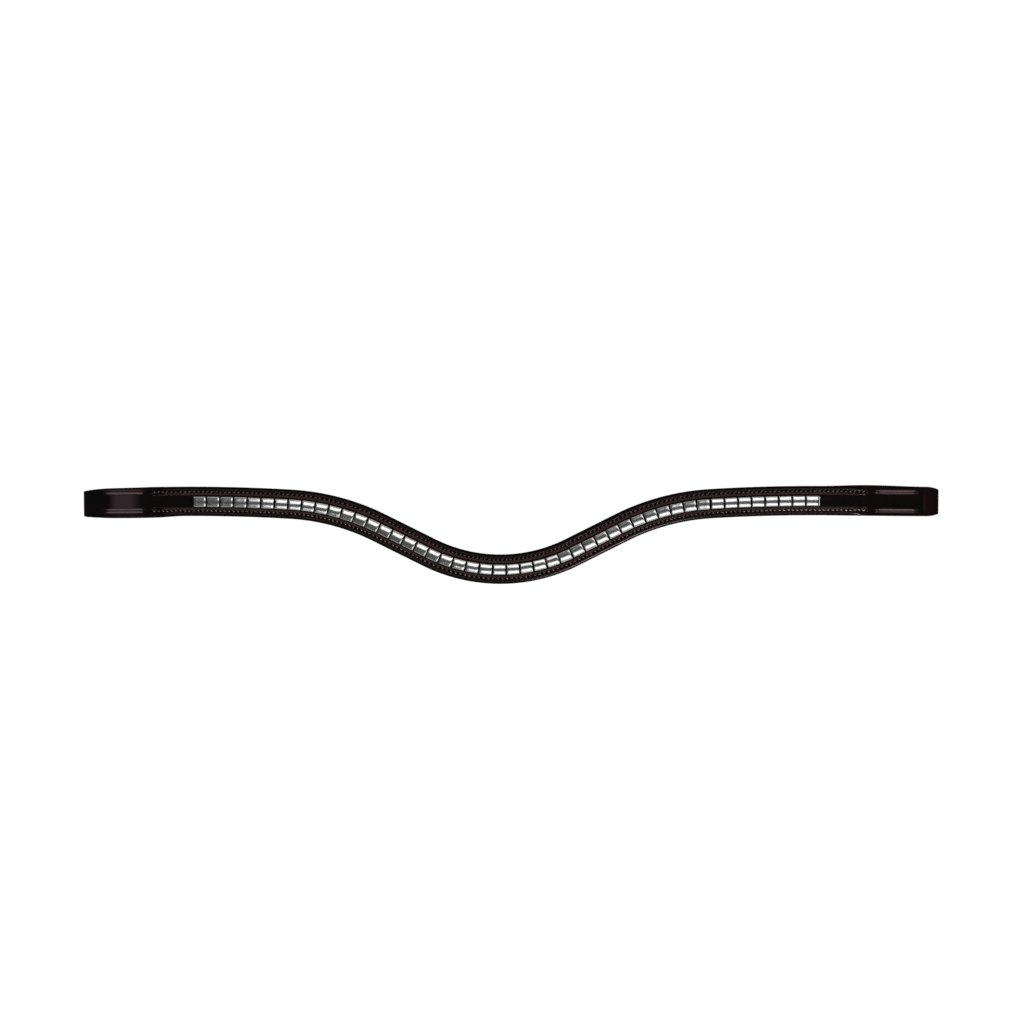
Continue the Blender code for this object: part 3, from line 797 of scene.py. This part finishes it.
# The section's right half, from the top down, in shares of its half width and of its height.
TAPE_OUT = np.array([0.0, 0.6, 0.93, 0.985, 1.0, 1.0, 0.985, 0.93, 0.6, 0.0])
TAPE_UP = np.array([1.0, 1.0, 0.99, 0.93, 0.8, 0.2, 0.07, 0.01, 0.0, 0.0])

tape_arcs = np.linspace(STRIP_START - TAPE_TONGUE, STRIP_END + TAPE_TONGUE, TAPE_RINGS)
tape_v, tape_h = closed_section(
    np.tile(TAPE_HALF * TAPE_OUT, (TAPE_RINGS, 1)),
    np.tile(TAPE_BOTTOM + (TAPE_TOP - TAPE_BOTTOM) * TAPE_UP, (TAPE_RINGS, 1)),
)
tape_rings = laid_rings(tape_arcs, tape_v + STRIP_DRIFT, tape_h)
tape_mesh = skin("tape", tape_rings, {"rubbed": 0.0, "ink_and_shade_mark": 0.0})
fit("tape", tape_mesh, split_leather, "soft_leather", "clincher_tape")


# The clinchers: strips of nickel-plated brass folded round the tape, each rising to a rounded lip
# that stands over the low end of the next. They are polished, with hairline marks from handling.

CLINCHER_COUNT = 48
CLINCHER_PITCH = (STRIP_END - STRIP_START) / CLINCHER_COUNT
CLINCHER_SPACE = 0.00062
CLINCHER_HALF = 0.0025
STRIP_BOTTOM = 0.0052
SHEET = 0.0004
BACK_EDGE = 0.0023
DOME = 0.00022
RAMP = 0.00058
LIP_ROUND, LIP_DROP = 0.0006, 0.00025
LEG_HALF = 0.0008

# How many degrees the clinchers tip their lips up, at places along the strip, which bows a little.
BOWED_AT = (-0.131, -0.119, -0.088, -0.076, 0.000, 0.025, 0.031, 0.056, 0.083, 0.103, 0.109)
BOWED_BY = (0.0, -1.5, -2.2, 0.0, 0.0, -0.9, 1.0, 1.3, 3.3, 5.0, 0.0)

# How far out of true single clinchers lie, in degrees: rocked across the strip, tipped and turned.
ROLL, PITCH, YAW = 0.5, 0.25, 0.35

nickel, nickel_tree, nickel_shader = new_material("polished_nickel", Metallic=1.0)
each_piece = wire(nickel_tree, "ShaderNodeObjectInfo").outputs["Random"]
nickel_place = wire(
    nickel_tree, "ShaderNodeVectorMath", {0: own_place(nickel_tree), 1: each_piece}, operation="ADD",
).outputs[0]
plating = noise(nickel_tree, nickel_place, 420.0, 3.0)["Fac"]
brushed = wire(nickel_tree, "ShaderNodeMapping", {"Vector": nickel_place, "Scale": (300, 5200, 5200)})
hairlines = noise(nickel_tree, brushed.outputs[0], 1.0, 4.0, Roughness=0.65)["Fac"]
nickel_tree.links.new(
    blended(nickel_tree, plating, (0.57, 0.57, 0.56, 1), (0.80, 0.80, 0.79, 1)),
    nickel_shader.inputs["Base Color"],
)
nickel_tree.links.new(scaled(nickel_tree, hairlines, 0.06, 0.20), nickel_shader.inputs["Roughness"])
nickel_relief = reckoned(nickel_tree, "MULTIPLY_ADD", hairlines, 0.25, plating)
emboss(nickel_tree, nickel_shader, nickel_relief, 0.40, 0.00006)


def clincher_section():
    """The folded sheet from its end: places across and up, and how much of the ramp each one has.

    From the middle of the back it goes round a shoulder, down a side and under to the leg's end, and
    the same way back inside. The ramp lifts the back and the shoulders, not the feet.
    """
    back_v = np.linspace(0, CLINCHER_HALF - SHEET, 9)
    back_h = BACK_EDGE + DOME * (1 - (back_v / back_v[-1]) ** 2)
    tip = math.atan(2 * DOME / back_v[-1])
    bend = tip + (math.pi / 2 - tip) * np.linspace(0, 1, 8)[1:]
    radius = SHEET / (1 - math.sin(tip))
    foot = quarter_turn(7)
    inner_v, inner_h = back_v[-1], back_h[-1] - SHEET
    v = np.concatenate([
        back_v,
        CLINCHER_HALF - radius * (1 - np.sin(bend)),
        CLINCHER_HALF - SHEET * (1 - np.cos(foot)),
        (LEG_HALF, LEG_HALF, inner_v, inner_v),
        back_v[-2::-1],
    ])
    h = np.concatenate([
        back_h,
        back_h[-1] - radius * (math.cos(tip) - np.cos(bend)),
        SHEET * (1 - np.sin(foot)),
        (0.0, SHEET, SHEET, inner_h),
        back_h[-2::-1] - SHEET,
    ])
    lift = np.concatenate([
        np.ones(len(back_v) + len(bend)), np.zeros(len(foot) + 3), np.ones(len(back_v)),
    ])
    return [np.concatenate([half, sign * half[-2:0:-1]]) for half, sign in ((v, -1), (h, 1), (lift, 1))]


def clincher_mesh():
    """The folded sheet drawn out along the tape: its two ends rounded, its back climbing to the lip."""
    v, h, lift = clincher_section()
    end = (CLINCHER_PITCH - CLINCHER_SPACE) / 2
    lip = [(end - LIP_ROUND * (1 - math.sin(t)), LIP_DROP * math.cos(t)) for t in quarter_turn(8)]
    low_end = [(-x, drop) for x, drop in lip[::-1]]
    ramp = [(x, LIP_DROP) for x in np.linspace(LIP_ROUND - end, end - LIP_ROUND, 6)[1:-1]]
    rings = []
    for x, crown in low_end + ramp + lip:
        climb = RAMP * (x + end) / (2 * end)
        rings.append(np.stack([np.full(len(v), x), v, h + lift * (crown + climb)], axis=1))
    return skin("clincher", np.array(rings))


folded_sheet = clincher_mesh()
chance = np.random.default_rng(11)
for number in range(CLINCHER_COUNT):
    place = STRIP_START + (number + 0.5) * CLINCHER_PITCH
    (x, y, _), along = midline_at(place)
    count = f"{number + 1:02d}"
    piece = fit(f"folded_{count}", folded_sheet, nickel, "nickel", f"clincher_{count}")
    roll, pitch, yaw = chance.normal(0, 1, 3)
    piece.location = (x - STRIP_DRIFT * along[1], y + STRIP_DRIFT * along[0], STRIP_BOTTOM)
    piece.rotation_euler = (
        math.radians(ROLL * roll),
        math.radians(PITCH * pitch - np.interp(place, BOWED_AT, BOWED_BY)),
        math.atan2(along[1], along[0]) + math.radians(YAW * yaw),
    )


# The staple: a short length of bright wire bent over the right-hand end of the tape, with its two
# legs in the channel. It keeps the last clincher from creeping.

STAPLE_WIRE = 0.0005
STAPLE_GAP, STAPLE_LIFT = 0.0003, 0.00015
STAPLE_SIDES = 16
STAPLE_HALF = CHANNEL_EDGE - STAPLE_GAP - STAPLE_WIRE / 2
STAPLE_TOP = TAPE_TOP + STAPLE_LIFT + STAPLE_WIRE / 2

staple_leg = [(STAPLE_HALF, STRIP_BOTTOM, 0.0)] + [
    (STAPLE_HALF - STAPLE_WIRE * (1 - math.cos(t)), STAPLE_TOP - STAPLE_WIRE * (1 - math.sin(t)), t)
    for t in quarter_turn(9)
]
staple_route = staple_leg + [(-v, z, math.pi - t) for v, z, t in staple_leg[::-1]]
(staple_x, staple_y, _), staple_along = midline_at(
    STRIP_END - CLINCHER_SPACE / 2 + STAPLE_GAP + STAPLE_WIRE / 2
)
staple_across = np.array([-staple_along[1], staple_along[0], 0.0])
staple_rings = []
for v, z, t in staple_route:
    outside = math.cos(t) * staple_across + math.sin(t) * np.array([0.0, 0.0, 1.0])
    centre = np.array([staple_x, staple_y, z]) + (v + STRIP_DRIFT) * staple_across
    staple_rings.append([
        centre + STAPLE_WIRE / 2 * (math.cos(a) * outside + math.sin(a) * np.array(staple_along))
        for a in np.linspace(0, 2 * math.pi, STAPLE_SIDES, endpoint=False)
    ])
staple_mesh = skin("wire_staple", np.array(staple_rings))
staple = fit("wire_staple", staple_mesh, nickel, "nickel", "end_staple")


# The table, the light and the camera: a white table that glows a little. Metal mirrors long soft
# lamps, with pale walls beyond them and a dim patch right above. Leather mirrors rose flags to both
# sides and lamps past its right end. Each stitch row has lamps of its own, matt surfaces a ceiling.

TABLE_HALF, TABLE_DROP = 3.0, 0.0001
ROSE, DEEP_ROSE = (1.0, 0.80, 0.86), (1.0, 0.66, 0.80)

# Lamps at one height hide each other where they overlap, so each hangs a step over the one before.
LAMP_HEIGHT, LAMP_STEP = 3.0, 0.02

# Each long lamp is two, one over the other, and the end lamps go on in steps, so that their edges
# are mirrored softly. A border is how far from the middle the lamps begin, with their radiance.
LAMP_LEFT, LAMP_RIGHT = -0.90, 2.3
LAMP_BORDERS = ((0.52, 1.15), (0.38, 0.45))
END_LAMPS, END_LAMP_LEFT, END_LAMP_STEP = 6, 0.85, 0.25

# The view's frame, as wide as this at the height of the face.
VIEW_MIDDLE, VIEW_HEIGHT = (0.00041, 0.01076), 0.006
VIEW_WIDTH = 0.4869
VIEW_TURN = math.radians(-0.07)
LENS, SENSOR = 100.0, 36.0

table_mesh = bpy.data.meshes.new("table_top")
table_corners = [(TABLE_HALF * x, TABLE_HALF * y, 0) for x, y in ((-1, -1), (1, -1), (1, 1), (-1, 1))]
table_mesh.from_pydata(table_corners, [], [(0, 1, 2, 3)])
table_top = bpy.data.objects.new("table_top", table_mesh)
table_top.location.z = -TABLE_DROP
bpy.context.scene.collection.objects.link(table_top)
table_white, _, _ = new_material(
    "table_white", Base_Color=(0.92, 0.92, 0.92, 1), Roughness=0.9, Specular_IOR_Level=0.0,
    Emission_Color=(1.0, 1.0, 1.0, 1), Emission_Strength=0.8,
)
table_mesh.materials.append(table_white)
table_top.visible_glossy = False


def made_of(*materials):
    """The finished pieces of the band that are made of one of these."""
    return [piece for piece in bpy.data.objects
            if piece.type == "MESH" and piece.data.materials and piece.data.materials[0] in materials]


def lamp(name, left, right, low, high, radiance, pieces=(), colour=(1.0, 1.0, 1.0)):
    """A soft lamp high over the table, from left to right and from low to high across the view.

    It is mirrored in its pieces, or lights the matt surfaces where it has none.
    """
    light = bpy.data.lights.new(name, "AREA")
    light.shape = "RECTANGLE"
    light.color = colour
    light.size, light.size_y = right - left, high - low
    light.energy = radiance * math.pi * light.size * light.size_y
    holder = bpy.data.objects.new(name, light)
    height = LAMP_HEIGHT + LAMP_STEP * len(bpy.data.lights)
    holder.location = ((left + right) / 2, (low + high) / 2, height)
    holder.visible_camera = False
    holder.visible_glossy = bool(pieces)
    holder.visible_diffuse = not pieces
    if pieces:
        kept = bpy.data.collections.new(name)
        for piece in pieces:
            kept.objects.link(piece)
        holder.light_linking.receiver_collection = kept
    bpy.context.scene.collection.objects.link(holder)


metal = made_of(nickel)
glossy = made_of(bridle_leather, waxed_thread, lining_calf) + [staple]
for inner, radiance in LAMP_BORDERS:
    lamp("far_lamp", LAMP_LEFT, LAMP_RIGHT, inner - 0.05, 1.20, radiance, metal)
    lamp("near_lamp", LAMP_LEFT, LAMP_RIGHT, -1.35, -0.10 - inner, radiance, metal)
lamp("dim_middle", -2.1, 2.1, -2.1, 2.1, radiance=0.05, pieces=metal)
lamp("far_wall", -7.0, 7.0, 1.7, 9.0, radiance=0.55, pieces=metal)
lamp("near_wall", -7.0, 7.0, -9.0, -1.7, radiance=0.55, pieces=metal)
lamp("far_flag", -0.25, 2.3, 1.4, 3.0, radiance=1.9, pieces=glossy, colour=ROSE)
lamp("near_flag", -0.25, 2.3, -3.0, -1.4, radiance=1.9, pieces=glossy, colour=ROSE)
lamp("far_flag", -2.4, -0.60, 1.4, 3.0, radiance=1.5, pieces=glossy, colour=ROSE)
lamp("near_flag", -2.4, -0.60, -3.0, -1.4, radiance=2.4, pieces=glossy, colour=ROSE)
lamp("low_lamp", 3.0, 8.5, -17.0, -6.2, radiance=12.0, pieces=glossy)
for step in range(END_LAMPS):
    left = END_LAMP_LEFT + END_LAMP_STEP * step
    lamp("end_lamp", left, 3.0, -0.5, 0.5, radiance=0.11, pieces=glossy, colour=DEEP_ROSE)
lamp("row_lamp", -0.1, 2.3, -2.4, 2.4, radiance=2.5, pieces=[upper_row, staple])
lamp("row_lamp", -0.6, 2.3, -2.4, 2.4, radiance=4.5, pieces=[lower_row])
lamp("row_lamp", 0.2, 2.3, -2.4, 2.4, radiance=5.0, pieces=[lower_row])
lamp("ceiling", -2.1, 2.1, -2.1, 2.1, radiance=1.1)

room = bpy.data.worlds.new("room")
room.use_nodes = True
room_tree = room.node_tree
dim = room_tree.nodes["Background"]
dim.inputs["Color"].default_value = (0.045, 0.045, 0.047, 1)
pale = wire(room_tree, "ShaderNodeBackground", {"Color": (1.0, 1.0, 1.0, 1)})
seen = wire(room_tree, "ShaderNodeLightPath").outputs["Is Camera Ray"]
either = wire(room_tree, "ShaderNodeMixShader", {
    0: seen, 1: dim.outputs["Background"], 2: pale.outputs["Background"],
})
room_tree.links.new(either.outputs[0], room_tree.nodes["World Output"].inputs["Surface"])
bpy.context.scene.world = room

camera_data = bpy.data.cameras.new("camera")
camera_data.lens = LENS
camera = bpy.data.objects.new("camera", camera_data)
camera.location = (*VIEW_MIDDLE, VIEW_HEIGHT + VIEW_WIDTH * LENS / SENSOR)
camera.rotation_euler.z = VIEW_TURN
bpy.context.scene.collection.objects.link(camera)
bpy.context.scene.camera = camera
bpy.context.scene.view_settings.view_transform = "Standard"
